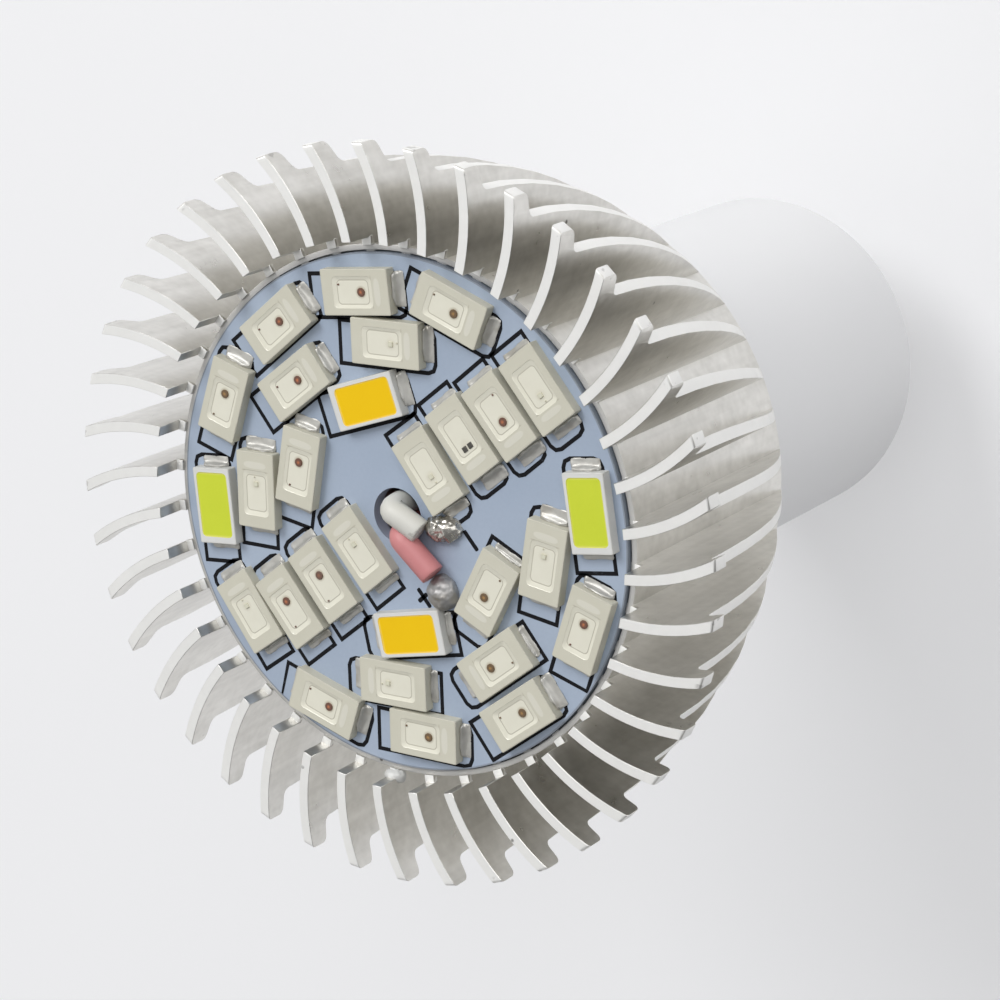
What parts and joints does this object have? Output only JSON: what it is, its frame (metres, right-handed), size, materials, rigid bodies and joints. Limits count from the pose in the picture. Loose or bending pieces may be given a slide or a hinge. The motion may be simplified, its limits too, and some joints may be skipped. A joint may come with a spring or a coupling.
{
  "type": "led grow light bulb",
  "caption": "Spot bulb for plant growing: a round board of red, blue and white LEDs on a turned aluminium heat sink with curved fins, with a plain white two-pin twist base.",
  "frame": {"origin": "centre of the flat end of the base that seats against the lampholder, on the lamp axis", "axes": "+Z runs along the lamp axis from the base to the LED face; +X runs through the two contact pins; +Y completes a right-handed frame"},
  "size_m": [0.049, 0.049, 0.0608],
  "materials": {
    "turned_aluminium": "satin turned aluminium",
    "board_mask": "pale blue-grey solder mask on an aluminium core",
    "led_body": "cream moulded plastic with a clear window",
    "led_white_phosphor": "cream moulded plastic with a yellow phosphor window",
    "solder": "tinned solder",
    "white_plastic": "semi-gloss white plastic",
    "pin_metal": "nickel plate",
    "driver_laminate": "green glass laminate",
    "capacitor_sleeve": "dark shrink sleeve",
    "capacitor_case": "red-brown dipped resin",
    "ferrite": "dark ferrite",
    "chip_plastic": "black epoxy",
    "resistor_coat": "pale lacquer",
    "lead_sleeve": "white insulation",
    "white_insulation": "white insulation",
    "pink_insulation": "faded red insulation"
  },
  "bodies": {
    "root": {"base_shell": "white_plastic", "blue_led_1": "led_body", "blue_led_2": "led_body", "blue_led_3": "led_body", "blue_led_4": "led_body", "blue_led_5": "led_body", "blue_led_6": "led_body", "blue_led_7": "led_body", "blue_led_8": "led_body", "bridge_rectifier": "chip_plastic", "choke": "ferrite", "circuit_board": "board_mask", "contact_pin_1": "pin_metal", "contact_pin_2": "pin_metal", "cool_white_led_1": "led_white_phosphor", "cool_white_led_2": "led_white_phosphor", "driver_board": "driver_laminate", "driver_chip": "chip_plastic", "film_capacitor": "capacitor_case", "fuse": "resistor_coat", "heat_sink": "turned_aluminium", "infrared_led": "led_body", "led_solder_joints": "solder", "negative_pad_joint": "solder", "negative_wire": "white_insulation", "pin_lead_1": "lead_sleeve", "pin_lead_2": "lead_sleeve", "positive_pad_joint": "solder", "positive_wire": "pink_insulation", "red_led_01": "led_body", "red_led_02": "led_body", "red_led_03": "led_body", "red_led_04": "led_body", "red_led_05": "led_body", "red_led_06": "led_body", "red_led_07": "led_body", "red_led_08": "led_body", "red_led_09": "led_body", "red_led_10": "led_body", "red_led_11": "led_body", "red_led_12": "led_body", "red_led_13": "led_body", "red_led_14": "led_body", "smoothing_capacitor": "capacitor_sleeve", "ultraviolet_led": "led_body", "warm_white_led_1": "led_white_phosphor", "warm_white_led_2": "led_white_phosphor"}
  },
  "joints": []
}
